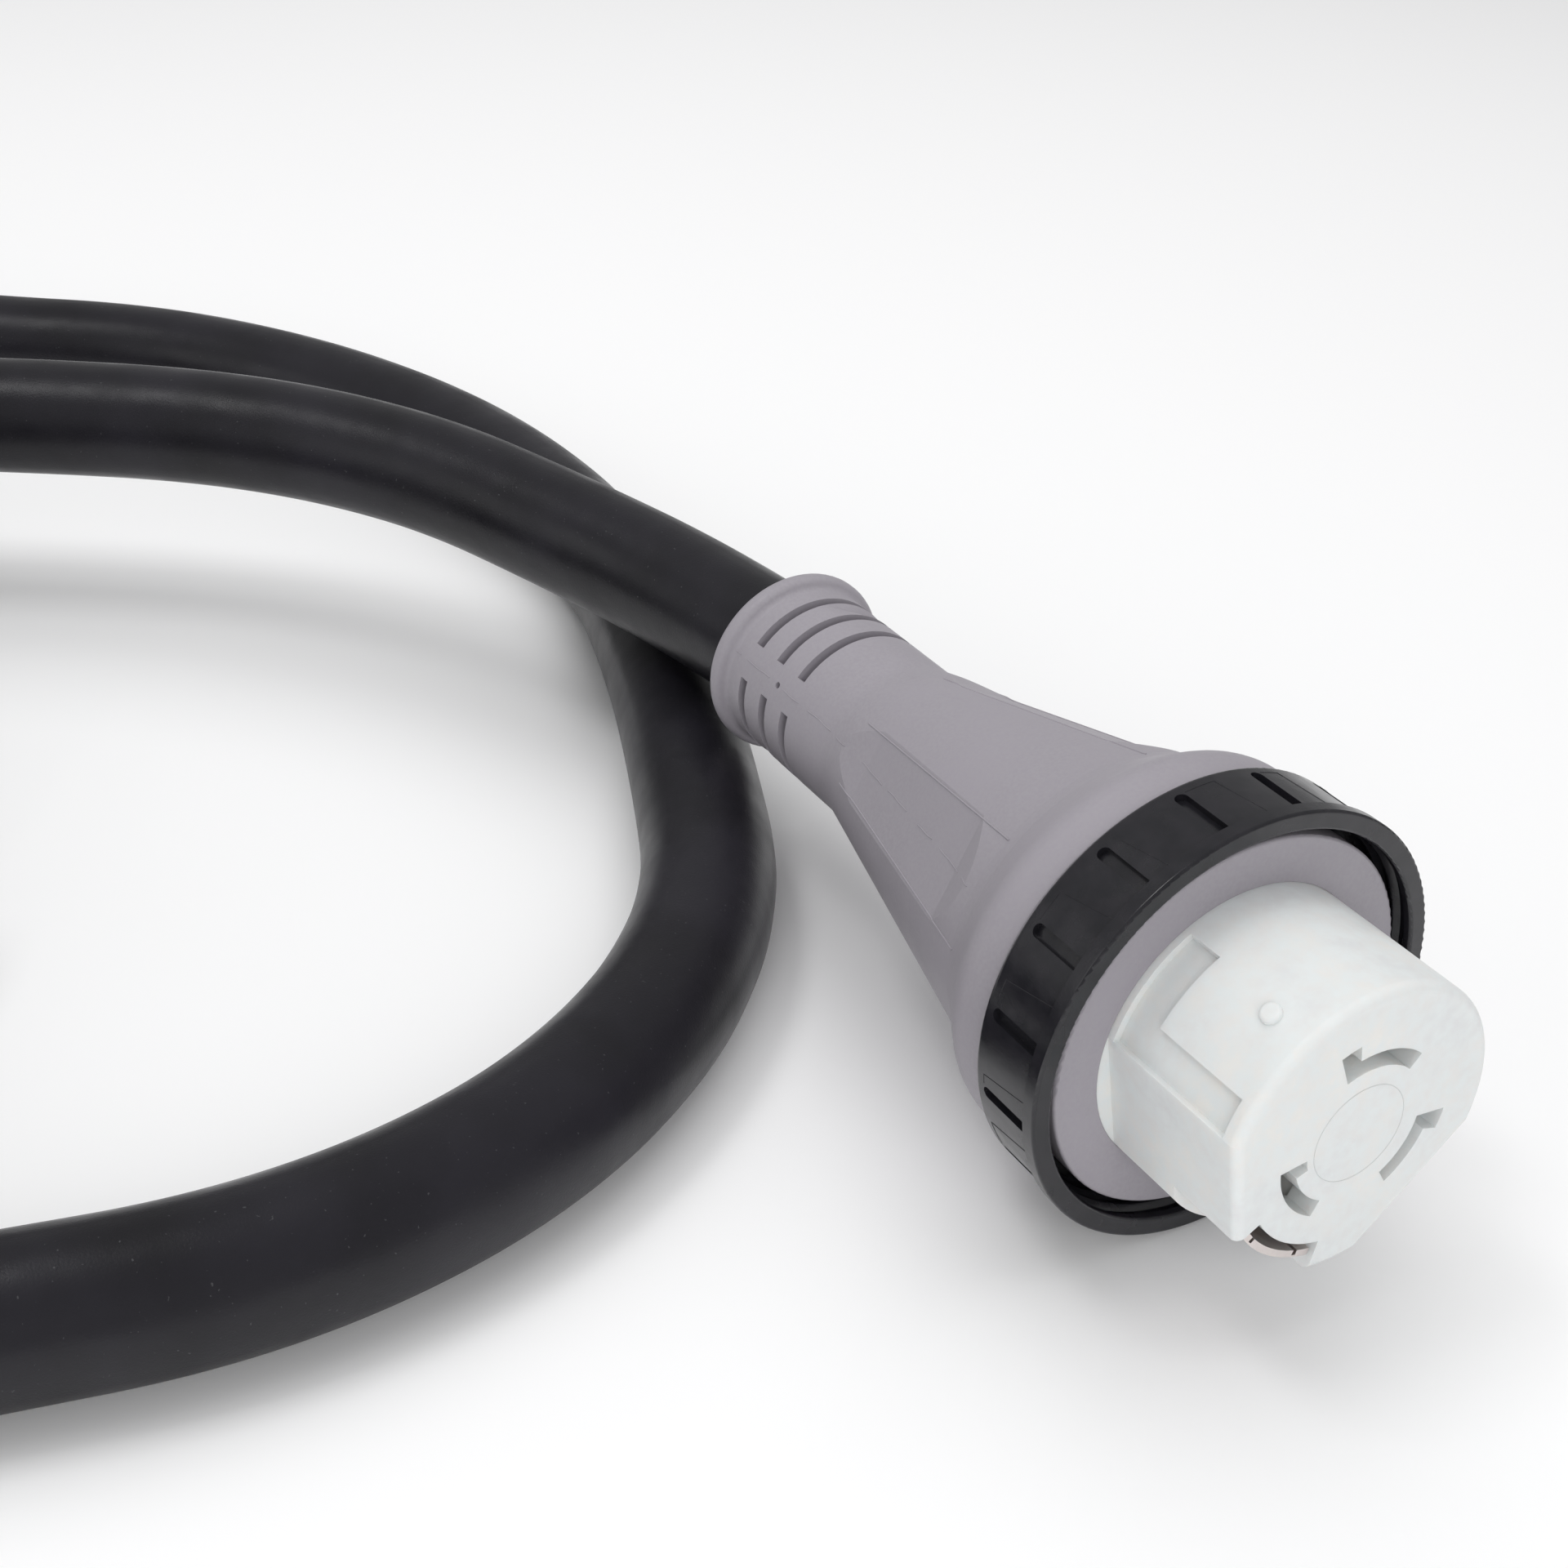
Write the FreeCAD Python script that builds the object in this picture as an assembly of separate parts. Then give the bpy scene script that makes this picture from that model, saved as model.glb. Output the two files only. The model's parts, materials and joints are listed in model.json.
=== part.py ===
"""Shore power cord: a locking female connector, a coiled length of cord and a straight-blade plug.

All sizes are in millimetres.  +X runs along the connector's axis towards its nose, +Z is up, and
the connector lies on the surface z = 0 with its bounding box centred on the origin.
"""
import FreeCAD
import Part
import math
import os

V = FreeCAD.Vector

# ---------------------------------------------------------------- driving dimensions
# Cord
cord_dia = 25.0
conductor_dia = 7.0
conductor_circle = 5.2  # radius on which the four conductors lie in the jacket
copper_dia = 4.4

# Connector, lengths along its axis from the cord end to the nose
bead_width = 4.0
neck_length = 34.0
cone_length = 61.0
flare_length = 8.0
shoulder_width = 7.7
ring_end_gap = 0.6
ring_width = 15.7
flange_recess = 1.9  # the flange face lies this far behind the ring's front
nose_length = 28.4
flange_thickness = 5.6

# Connector, radii
bead_radius = 18.1
neck_radius = 16.2
cone_front_radius = 30.5
shoulder_radius = 35.6
barrel_radius = 30.4  # the overmold's journal that the ring turns on
flange_radius = 32.8
nose_radius = 25.0

# Locking ring
ring_lip_radius = 38.0
ring_lip_width = 2.6
ring_body_radius = 37.2
ring_thread_crest = 34.8
ring_thread_depth = 0.8
ring_thread_pitch = 2.9
ring_rear_web = 3.2
ring_running_clearance = 0.1
ring_grip_count = 16
ring_grip_first_angle = 78.75
ring_grip_width = 2.2
ring_grip_wall = 0.5  # left between a groove and the thread behind it
ring_grip_depth = ring_body_radius - ring_thread_crest - ring_thread_depth - ring_grip_wall
ring_grip_length = 9.8

# Strain relief slots and the shallow pads on the cone
relief_slot_count = 3
relief_slot_width = 2.2
relief_slot_pitch = 7.2
relief_slot_depth = 2.7
relief_slot_setback = 9.6  # centre of the slot nearest the cord, from the cord end
relief_web_angle = 25.0
mold_line_angle = 154.0
pad_depth = 1.3
pad_rear = 52.0  # start of the pad's full depth, from the cord end
pad_length = 37.0
pad_ramp = 9.0
mold_gate_radius = 0.6

# Nose
nose_edge_round = 1.6
nose_flats = ((192.0, 22.4), (313.0, 21.5))  # angle and distance of the two flats on its side
key_depth = 1.3
key_width = 6.4
key_angle = 158.0
key_rear = 4.4  # centre of the cross leg, ahead of the flange face
key_sweep = 38.0
knob_radius = 1.7
knob_height = 0.9
knob_angle = 124.0
knob_set_back = 8.0  # behind the nose face
slot_inner_radius = 11.7
slot_outer_radius = 14.5
slot_hook_reach = 17.3
slot_hook_angle = 12.0
contact_slots = (
    # name, start angle, end angle, hooked end, inner radius and outer radius of the hook
    ("line_1", 50.0, 114.0, "end", slot_inner_radius, slot_hook_reach),
    ("line_2", -57.0, -6.0, "end", slot_inner_radius, slot_hook_reach),
    ("neutral", -172.0, -116.0, "start", 9.6, slot_outer_radius),
)
slot_mouth_depth = 5.0
pocket_margin = 5.0  # degrees, round each contact behind its slot
pocket_wall = 0.6
ground_start_angle = -148.0
ground_end_angle = -100.0
ground_inner_radius = nose_radius - 3.8
ground_thickness = 1.2
ground_recess_radius = nose_radius - 5.6
ground_recess_depth = 14.0
ground_tail_angle = -84.0

# Inside the connector
insert_depth = 20.0  # the nose moulding reaches this far behind the flange face
carrier_thickness = 10.0
contact_leaf = 1.0
contact_front_gap = 3.0
contact_web = 2.0
terminal_radius = 4.0
terminal_circle = 13.1
terminal_length = 8.5
ground_terminal_angle = -88.0
screw_radius = 1.7
screw_head_radius = 3.0
screw_head_height = 2.2
screw_length = 22.0
screw_circle = nose_radius - 5.4
screw_angles = (25.0, 143.0, -66.0)
premold_wall = 3.0
premold_length = 38.0
premold_rear_radius = 15.0
jacket_entry = 6.0  # the jacket reaches this far into the premold
part_gap = 0.05  # between pieces that are moulded or pressed together
assembly_gap = 0.2  # between pieces that are put together by hand

# Coil
lead_joins_at = 140.0  # where the lead runs into the outermost turn, in degrees round the coil
coil_turns = 3.5 + (180.0 - lead_joins_at) / 360.0
coil_outer_turn = 165.0  # radius of the outermost turn's centreline
coil_pitch = 25.4
coil_centre = V(-192.0, -320.0, 0.0)
strap_width = 25.0
strap_thickness = 1.5
strap_gap = 0.3
strap_angles = (60.0, 240.0)

# Plug
plug_body_width = 58.0
plug_body_height = 48.0
plug_body_length = 58.0
plug_body_round = 7.0
plug_neck_radius = 16.0
plug_bead_radius = 18.0
plug_bead_width = 4.0
plug_neck_length = 31.0
plug_taper_length = 10.0
plug_insert_width = 47.0
plug_insert_height = 38.0
plug_insert_depth = 18.0
plug_insert_proud = 1.0
plug_insert_round = 4.0
blade_width = 13.7
blade_thickness = 1.65
blade_reach = 24.0
blade_tail = 9.0
hot_blade_offset = 13.7
neutral_blade_drop = 9.2
ground_pin_rise = 12.0
ground_pin_radius = 3.15
ground_pin_shank = 2.9  # radius inside the insert
ground_pin_reach = 27.0
plug_cavity_step = 2.5
handle_width = 16.0
handle_bar = 9.0
handle_gap_length = 38.0
handle_gap_height = 22.0
handle_round = 3.5

# Cord routes, centrelines.  The lead runs from the connector to the coil, the run from the coil
# round below the connector to the plug.
axis_height = ring_lip_radius
connector_length = (
    bead_width + neck_length + cone_length + flare_length + shoulder_width
    + ring_end_gap + ring_width - flange_recess + nose_length
)
x_cord_end = -connector_length / 2.0
plug_axis_height = plug_body_height / 2.0
coil_base = strap_thickness + strap_gap
coil_low = coil_base + cord_dia / 2.0
coil_high = coil_low + coil_pitch
crossing_height = 1.5 * cord_dia + 2.1  # the lead passes over the run here
lead_route = [
    V(x_cord_end, 0.0, axis_height),
    V(-107.0, 0.0, axis_height),
    V(-143.0, -7.5, crossing_height),
    V(-180.0, -26.5, crossing_height + 2.2),
    V(-214.0, -57.0, crossing_height + 3.4),
    V(-243.0, -103.0, crossing_height + 3.2),
    V(-270.0, -153.0, crossing_height + 2.0),
    V(-295.0, -185.5, crossing_height + 0.6),
    V(
        coil_centre.x + coil_outer_turn * math.cos(math.radians(lead_joins_at)),
        coil_centre.y + coil_outer_turn * math.sin(math.radians(lead_joins_at)),
        coil_high,
    ),
]
run_route = [
    V(coil_centre.x + coil_outer_turn, coil_centre.y, coil_low),
    V(-22.5, -273.0, 13.3),
    V(-12.0, -225.0, cord_dia / 2.0),
    V(-2.5, -182.0, cord_dia / 2.0),
    V(6.8, -140.0, cord_dia / 2.0),
    V(2.0, -99.0, cord_dia / 2.0),
    V(-16.0, -62.5, cord_dia / 2.0),
    V(-46.0, -33.5, cord_dia / 2.0),
    V(-84.0, -17.0, cord_dia / 2.0),
    V(-124.0, -1.5, cord_dia / 2.0),
    V(-167.0, 11.0, cord_dia / 2.0),
    V(-212.0, 15.5, cord_dia / 2.0),
    V(-260.0, 8.5, cord_dia / 2.0),
    V(-305.0, -10.5, cord_dia / 2.0),
    V(-344.0, -41.0, cord_dia / 2.0),
    V(-370.0, -83.0, cord_dia / 2.0),
    V(-391.0, -127.0, 17.5),
    V(-408.0, -168.0, plug_axis_height),
    V(-425.5, -208.0, plug_axis_height),
]
plug_entry = run_route[-1]
plug_direction = run_route[-1] - run_route[-2]
plug_heading = math.degrees(math.atan2(plug_direction.y, plug_direction.x))

# ---------------------------------------------------------------- places along the axis
x_bead_front = x_cord_end + bead_width
x_cone_rear = x_bead_front + neck_length
x_cone_front = x_cone_rear + cone_length
x_shoulder_rear = x_cone_front + flare_length
x_shoulder_front = x_shoulder_rear + shoulder_width
x_ring_rear = x_shoulder_front + ring_end_gap
x_ring_front = x_ring_rear + ring_width
x_flange_front = x_ring_front - flange_recess
x_flange_rear = x_flange_front - flange_thickness
x_nose_front = x_flange_front + nose_length
x_insert_rear = x_flange_front - insert_depth
x_carrier_rear = x_insert_rear - carrier_thickness
x_premold_rear = x_carrier_rear - premold_length
x_jacket_front = x_premold_rear + jacket_entry

FAR = 500.0


# ---------------------------------------------------------------- helpers
def polar(x, radius, degrees):
    """A point of the connector at a distance and an angle from its axis."""
    a = math.radians(degrees)
    return V(x, radius * math.cos(a), axis_height + radius * math.sin(a))


def revolved(profile, height=axis_height):
    """A solid of revolution about the X direction at a height, from (x, radius) corners."""
    points = [V(x, 0, height + r) for x, r in profile]
    face = Part.Face(Part.makePolygon(points + points[:1]))
    return face.revolve(V(0, 0, height), V(1, 0, 0), 360)


def disc(x0, x1, radius, height=axis_height):
    return Part.makeCylinder(radius, x1 - x0, V(x0, 0, height), V(1, 0, 0))


def sector(x0, x1, r0, r1, start, end):
    """A ring segment about the connector's axis between two angles."""
    a, b, c, d = polar(x0, r0, start), polar(x0, r1, start), polar(x0, r1, end), polar(x0, r0, end)
    middle = (start + end) / 2.0
    outer = Part.Arc(b, polar(x0, r1, middle), c).toShape()
    inner = Part.Arc(d, polar(x0, r0, middle), a).toShape()
    wire = Part.Wire([Part.makeLine(a, b), outer, Part.makeLine(c, d), inner])
    return Part.Face(wire).extrude(V(x1 - x0, 0, 0))


def turned(shape, degrees):
    """A copy turned about the connector's axis."""
    out = shape.copy()
    out.rotate(V(0, 0, axis_height), V(1, 0, 0), degrees)
    return out


def rounded(shape, radius, wanted):
    """Fillet the edges that the test picks, with the radius limited by what the wall takes."""
    edges = [e for e in shape.Edges if wanted(e)]
    for r in (radius, radius * 0.8, radius * 0.6, radius * 0.4):
        try:
            out = shape.makeFillet(r, edges)
        except Part.OCCError:
            continue
        if out.isValid() and len(out.Solids) == 1:
            return out.Solids[0]
    raise ValueError("no fillet of %.2f mm could be made" % radius)


def circle_at(x, radius, height=axis_height):
    """A test for full or part circles about an axis along X, at one place and radius."""
    def test(edge):
        c = edge.Curve
        if not isinstance(c, Part.Circle):
            return False
        offset = (c.Center - V(x, 0, height)).Length
        return offset < 0.02 and abs(c.Radius - radius) < 0.02
    return test


def any_of(*tests):
    return lambda edge: any(t(edge) for t in tests)


def path_of(points, label=""):
    """Straight runs joined by tangent arcs, each as large as its two runs allow."""
    edges, start, radii = [], points[0], []
    for before, corner, after in zip(points, points[1:], points[2:]):
        back, ahead = before - corner, after - corner
        shorter = min(back.Length, ahead.Length)
        turn = math.pi - back.getAngle(ahead)
        cut = 0.45 * shorter
        radius = cut / math.tan(turn / 2.0)
        radii.append(radius)
        back.normalize()
        ahead.normalize()
        a, b = corner + back * cut, corner + ahead * cut
        toward = back + ahead
        toward.normalize()
        depth = radius / math.cos(turn / 2.0) - radius
        edges += [Part.LineSegment(start, a).toShape(), Part.Arc(a, corner + toward * depth, b).toShape()]
        start = b
    edges.append(Part.LineSegment(start, points[-1]).toShape())
    wire = Part.Wire(edges)
    if label:
        print("%s: length %.1f mm, smallest radius %.1f mm" % (label, wire.Length, min(radii)))
    return wire


def tube(points, diameter, label=""):
    """A round solid that follows a route."""
    wire = path_of(points, label)
    direction = points[1] - points[0]
    section = Part.Wire(Part.Circle(points[0], direction, diameter / 2.0).toShape())
    pipe = wire.makePipeShell([section], True, False)
    solid = pipe if isinstance(pipe, Part.Solid) else Part.Solid(pipe)
    if label:
        ideal = math.pi * diameter ** 2 / 4.0 * wire.Length
        print("%s: volume %.4f of section times length" % (label, solid.Volume / ideal))
    return solid


def one(shape):
    """The single solid of a boolean result, cleaned of split faces."""
    clean = shape.removeSplitter()
    if len(clean.Solids) != 1:
        raise ValueError("expected one solid, found %d" % len(clean.Solids))
    return clean.Solids[0]


def save(name, shape):
    if not shape.isValid():
        raise ValueError(name + " is not valid")
    shape.exportStep("parts/" + name + ".step")
    box = shape.BoundBox
    print("%-22s %2d solid  x %.1f %.1f  y %.1f %.1f  z %.1f %.1f" % (
        name, len(shape.Solids), box.XMin, box.XMax, box.YMin, box.YMax, box.ZMin, box.ZMax))


# ---------------------------------------------------------------- connector shells
def connector_overmold():
    """The soft grey shell: bead, slotted neck, cone, shoulder, the ring's journal and the flange."""
    outer = revolved([
        (x_cord_end, cord_dia / 2.0 + part_gap),
        (x_cord_end, bead_radius),
        (x_bead_front, bead_radius),
        (x_bead_front, neck_radius),
        (x_cone_rear, neck_radius),
        (x_cone_front, cone_front_radius),
        (x_shoulder_rear, shoulder_radius),
        (x_shoulder_front, shoulder_radius),
        (x_shoulder_front, barrel_radius),
        (x_flange_rear, barrel_radius),
        (x_flange_rear, flange_radius),
        (x_flange_front, flange_radius),
        (x_flange_front, nose_radius + part_gap),
        (x_carrier_rear, nose_radius + part_gap),
        (x_premold_rear, premold_rear_radius + part_gap),
        (x_premold_rear, cord_dia / 2.0 + part_gap),
    ])
    shell = rounded(outer, 1.7, any_of(circle_at(x_cord_end, bead_radius), circle_at(x_bead_front, bead_radius)))
    shell = rounded(shell, 1.2, circle_at(x_bead_front, neck_radius))
    shell = rounded(shell, 12.0, circle_at(x_cone_rear, neck_radius))
    shell = rounded(shell, 9.0, circle_at(x_cone_front, cone_front_radius))
    shell = rounded(shell, 7.0, circle_at(x_shoulder_rear, shoulder_radius))
    shell = rounded(shell, 0.5, any_of(
        circle_at(x_shoulder_front, shoulder_radius), circle_at(x_flange_front, flange_radius)))
    for tool in relief_slots(x_cord_end, 1.0, neck_radius, axis_height) + cone_pads() + [mold_gate()]:
        shell = shell.cut(tool)
    return one(shell)


def relief_slots(x_end, direction, radius, height):
    """Curved slots on both sides of the two webs that the mould line runs along."""
    tools = []
    for i in range(relief_slot_count):
        centre = x_end + direction * (relief_slot_setback + i * relief_slot_pitch)
        for side in (0.0, 180.0):
            start = mold_line_angle + relief_web_angle / 2.0 + side
            end = mold_line_angle + 180.0 - relief_web_angle / 2.0 + side
            tool = sector(centre - relief_slot_width / 2.0, centre + relief_slot_width / 2.0,
                          radius - relief_slot_depth, radius + 4.0, start, end)
            tool.translate(V(0, 0, height - axis_height))
            tools.append(tool)
    return tools


def cone_pads():
    """Tools that flatten the cone along four lines, level with its slope, with a ramp at each end."""
    slope = (cone_front_radius - neck_radius) / cone_length
    x0 = x_cord_end + pad_rear
    x1 = x0 + pad_length
    r0 = neck_radius + slope * (x0 - x_cone_rear) - pad_depth
    r1 = r0 + slope * pad_length - pad_depth * 0.3
    lift = pad_depth + slope * pad_ramp
    corners = [
        (x0 - pad_ramp, r0 + pad_depth - slope * pad_ramp), (x0, r0), (x1, r1), (x1 + pad_ramp, r1 + 1.4 * lift),
        (x1 + pad_ramp, r1 + 12.0), (x0 - pad_ramp, r1 + 12.0)]
    points = [V(x, -20.0, axis_height + r) for x, r in corners]
    wedge = Part.Face(Part.makePolygon(points + points[:1])).extrude(V(0, 40.0, 0))
    return [turned(wedge, mold_line_angle - 90.0 + k * 90.0) for k in range(4)]


def mold_gate():
    """The small pit where the moulding was filled, on the web between the relief slots."""
    outward = polar(0, 1.0, mold_line_angle) - polar(0, 0.0, mold_line_angle)
    start = polar(x_cord_end + relief_slot_setback + 1.35 * relief_slot_pitch, neck_radius - 1.0, mold_line_angle)
    return Part.makeCylinder(mold_gate_radius, 3.0, start, outward)


def inner_premold():
    """The hard bell behind the contact carrier, hollow round the splayed conductors."""
    front, rear = nose_radius, premold_rear_radius
    outer = revolved([
        (x_premold_rear, 0.0), (x_premold_rear, rear), (x_carrier_rear, front), (x_carrier_rear, 0.0)])
    cavity = revolved([
        (x_jacket_front + part_gap, 0.0),
        (x_jacket_front + part_gap, rear - premold_wall + 1.5),
        (x_carrier_rear - premold_wall, front - premold_wall - 1.0),
        (x_carrier_rear, front - premold_wall - 1.0),
        (x_carrier_rear, 0.0)])
    entry = disc(x_premold_rear - 1.0, x_jacket_front + 1.0, cord_dia / 2.0 + part_gap)
    return one(outer.cut(cavity).cut(entry))


# ---------------------------------------------------------------- nose and contacts
def slot_shape(slot, x0, x1):
    """The mouth of one contact slot, with its hooked end."""
    name, start, end, hooked, hook_in, hook_out = slot
    mouth = sector(x0, x1, slot_inner_radius, slot_outer_radius, start, end)
    if hooked == "end":
        hook = sector(x0, x1, hook_in, hook_out, end - slot_hook_angle, end)
    else:
        hook = sector(x0, x1, hook_in, hook_out, start, start + slot_hook_angle)
    return mouth.fuse(hook)


def contact_span(slot):
    """The angles that a contact covers: its slot without the hooked end."""
    name, start, end, hooked, hook_in, hook_out = slot
    if hooked == "end":
        return start + 2.0, end - slot_hook_angle
    return start + slot_hook_angle, end - 2.0


def contact_pocket(slot):
    """The space behind a slot that holds its contact."""
    start, end = contact_span(slot)
    r0 = slot_inner_radius - contact_leaf - assembly_gap
    r1 = slot_outer_radius + contact_leaf + assembly_gap
    return sector(x_insert_rear - 1.0, x_nose_front - slot_mouth_depth, r0, r1,
                  start - pocket_margin, end + pocket_margin)


def contact(slot):
    """A curved clip of two brass leaves joined by a web, with a barrel terminal behind."""
    start, end = contact_span(slot)
    x_tip = x_nose_front - slot_mouth_depth - contact_front_gap
    x_web = x_insert_rear + contact_web
    inner = sector(x_insert_rear, x_tip, slot_inner_radius - contact_leaf, slot_inner_radius, start, end)
    outer = sector(x_insert_rear, x_tip, slot_outer_radius, slot_outer_radius + contact_leaf, start, end)
    web = sector(x_insert_rear, x_web, slot_inner_radius - contact_leaf, slot_outer_radius + contact_leaf,
                 start, end)
    barrel = terminal((start + end) / 2.0)
    return one(inner.fuse([outer, web, barrel]))


def terminal(angle):
    """A barrel through the carrier, bored from behind for the stripped conductor."""
    centre = polar(0, terminal_circle, angle)
    rear = x_insert_rear - terminal_length
    barrel = Part.makeCylinder(terminal_radius, terminal_length, V(rear, centre.y, centre.z), V(1, 0, 0))
    bore = Part.makeCylinder(copper_dia / 2.0 + part_gap, terminal_length - 1.0,
                             V(rear, centre.y, centre.z), V(1, 0, 0))
    return barrel.cut(bore)


def terminal_angles():
    angles = [(name, sum(contact_span(s)) / 2.0) for s in contact_slots for name in [s[0]]]
    return angles + [("ground", ground_terminal_angle)]


def ground_outer_radius():
    return ground_inner_radius + ground_thickness


def ground_contact():
    """The curved strip in the rim pocket, its two slits, its rear tail and its terminal."""
    x_tip = x_nose_front - 0.8
    strip = sector(x_insert_rear, x_tip, ground_inner_radius, ground_outer_radius(),
                   ground_start_angle + 1.0, ground_end_angle - 1.0)
    for angle in (ground_start_angle + 8.0, ground_end_angle - 9.0):
        strip = strip.cut(sector(x_tip - 9.0, x_tip + 1.0, ground_inner_radius - 1.0,
                                 ground_outer_radius() - 0.35, angle - 1.0, angle + 1.0))
    tail = sector(x_insert_rear, x_insert_rear + 1.5, terminal_circle - 3.0, ground_outer_radius(),
                  ground_end_angle - 12.0, ground_tail_angle)
    return one(strip.fuse([tail, terminal(ground_terminal_angle)]))


def ground_space():
    """The rim pocket at the nose face and the thin channel behind it for the strip and its tail."""
    x_pocket = x_nose_front - ground_recess_depth
    rim = sector(x_pocket, x_nose_front + 1.0, ground_recess_radius, nose_radius + 5.0,
                 ground_start_angle, ground_end_angle)
    channel = sector(x_insert_rear - 1.0, x_pocket + 1.0, ground_inner_radius - part_gap,
                     ground_outer_radius() + part_gap, ground_start_angle, ground_end_angle)
    tail = sector(x_insert_rear - 1.0, x_insert_rear + 1.5 + part_gap, terminal_circle - 3.0 - part_gap,
                  ground_outer_radius() + part_gap, ground_end_angle - 13.0, ground_tail_angle + 1.0)
    return rim.fuse([channel, tail])


def key_groove():
    """The shallow L-shaped bayonet groove in the side of the nose."""
    half = math.degrees(key_width / 2.0 / nose_radius)
    floor = nose_radius - key_depth
    x_leg = x_flange_front + key_rear
    along = sector(x_leg - key_width / 2.0, x_nose_front - 3.0, floor, nose_radius + 3.0,
                   key_angle - half, key_angle + half)
    across = sector(x_leg - key_width / 2.0, x_leg + key_width / 2.0, floor, nose_radius + 3.0,
                    key_angle - key_sweep, key_angle + half)
    return along.fuse(across)


def nose_insert():
    """The white moulding: face with three curved slots, rim pocket, side flat, key groove and knob."""
    body = disc(x_insert_rear, x_nose_front, nose_radius)
    for angle, distance in nose_flats:
        flat = Part.makeBox(nose_length + 1.0, 2 * FAR, FAR,
                            V(x_flange_front + 0.01, -FAR, axis_height + distance))
        body = body.cut(turned(flat, angle - 90.0))
    body = rounded(body, nose_edge_round, lambda e: abs(e.BoundBox.XMin - x_nose_front) < 0.01)
    for tool in [key_groove(), ground_space()]:
        body = body.cut(tool)
    for slot in contact_slots:
        body = body.cut(slot_shape(slot, x_nose_front - slot_mouth_depth - 0.5, x_nose_front + 1.0))
        body = body.cut(contact_pocket(slot))
    for angle in screw_angles:
        p = polar(x_insert_rear - 1.0, screw_circle, angle)
        depth = screw_length - carrier_thickness + screw_head_height + 1.5
        body = body.cut(Part.makeCylinder(screw_radius + part_gap, depth, p, V(1, 0, 0)))
    base = polar(x_nose_front - knob_set_back, nose_radius - 1.0, knob_angle)
    outward = polar(0, 1.0, knob_angle) - polar(0, 0.0, knob_angle)
    knob = Part.makeCylinder(knob_radius, 1.0 + knob_height, base, outward)
    knob = knob.makeFillet(0.6, [e for e in knob.Edges if e.BoundBox.Center.distanceToPoint(
        base + outward * (1.0 + knob_height)) < 0.1])
    return one(body.fuse(knob))


def contact_carrier():
    """The rear half of the insulator, which holds the contacts' terminals."""
    body = disc(x_carrier_rear, x_insert_rear, nose_radius)
    for name, angle in terminal_angles():
        p = polar(x_carrier_rear - 1.0, terminal_circle, angle)
        body = body.cut(Part.makeCylinder(terminal_radius + part_gap, carrier_thickness + 2.0, p, V(1, 0, 0)))
    for angle in screw_angles:
        p = polar(x_carrier_rear - 1.0, screw_circle, angle)
        body = body.cut(Part.makeCylinder(screw_radius + assembly_gap, carrier_thickness + 2.0, p, V(1, 0, 0)))
        body = body.cut(Part.makeCylinder(screw_head_radius + assembly_gap, screw_head_height + 1.0, p, V(1, 0, 0)))
    return one(body)


def insert_screws():
    """Three cross-recessed screws that clamp the carrier to the nose."""
    screws = []
    for angle in screw_angles:
        p = polar(x_carrier_rear, screw_circle, angle)
        head = Part.makeCylinder(screw_head_radius, screw_head_height, p, V(1, 0, 0))
        shank = Part.makeCylinder(screw_radius, screw_length, p, V(1, 0, 0))
        cross = Part.makeBox(1.4, 3.4, 0.8, p + V(-0.2, -1.7, -0.4))
        cross = cross.fuse(Part.makeBox(1.4, 0.8, 3.4, p + V(-0.2, -0.4, -1.7)))
        screws.append(one(head.fuse(shank).cut(cross)))
    return Part.makeCompound(screws)


# ---------------------------------------------------------------- locking ring
def locking_ring():
    """The black threaded ring, captive between the overmold's shoulder and its flange."""
    journal = barrel_radius + ring_running_clearance
    x_web = x_ring_rear + ring_rear_web
    x_lip = x_ring_front - ring_lip_width
    body = revolved([
        (x_ring_rear, journal), (x_ring_rear, ring_body_radius), (x_lip, ring_body_radius),
        (x_lip, ring_lip_radius), (x_ring_front, ring_lip_radius), (x_ring_front, ring_thread_crest),
        (x_web, ring_thread_crest), (x_web, journal)])
    body = rounded(body, 1.0, circle_at(x_ring_rear, ring_body_radius))
    body = rounded(body, 0.5, any_of(
        circle_at(x_ring_front, ring_lip_radius), circle_at(x_ring_front, ring_thread_crest)))
    x_groove = x_ring_front - 1.6
    while x_groove - ring_thread_pitch > x_web:
        half = ring_thread_pitch * 0.42
        groove = revolved([
            (x_groove, ring_thread_crest - 0.5), (x_groove, ring_thread_crest),
            (x_groove - half * 0.7, ring_thread_crest + ring_thread_depth),
            (x_groove - half * 1.3, ring_thread_crest + ring_thread_depth),
            (x_groove - half * 2.0, ring_thread_crest), (x_groove - half * 2.0, ring_thread_crest - 0.5)])
        body = body.cut(groove)
        x_groove -= ring_thread_pitch
    grip = grip_groove(x_lip)
    for i in range(ring_grip_count):
        body = body.cut(turned(grip, ring_grip_first_angle - 90.0 + i * 360.0 / ring_grip_count))
    return one(body)


def grip_groove(x_lip):
    """One finger groove, square at the lip and round at its rear end."""
    x_end = x_lip - ring_grip_length
    floor = axis_height + ring_body_radius - ring_grip_depth
    bar = Part.makeBox(ring_grip_length, ring_grip_width, 5.0, V(x_end, -ring_grip_width / 2.0, floor))
    return bar.fuse(Part.makeCylinder(ring_grip_width / 2.0, 5.0, V(x_end, 0, floor), V(0, 0, 1)))


# ---------------------------------------------------------------- wiring at the connector
def conductor_start_angles():
    return {"line_1": 80.0, "line_2": -10.0, "ground": -100.0, "neutral": 170.0}


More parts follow.
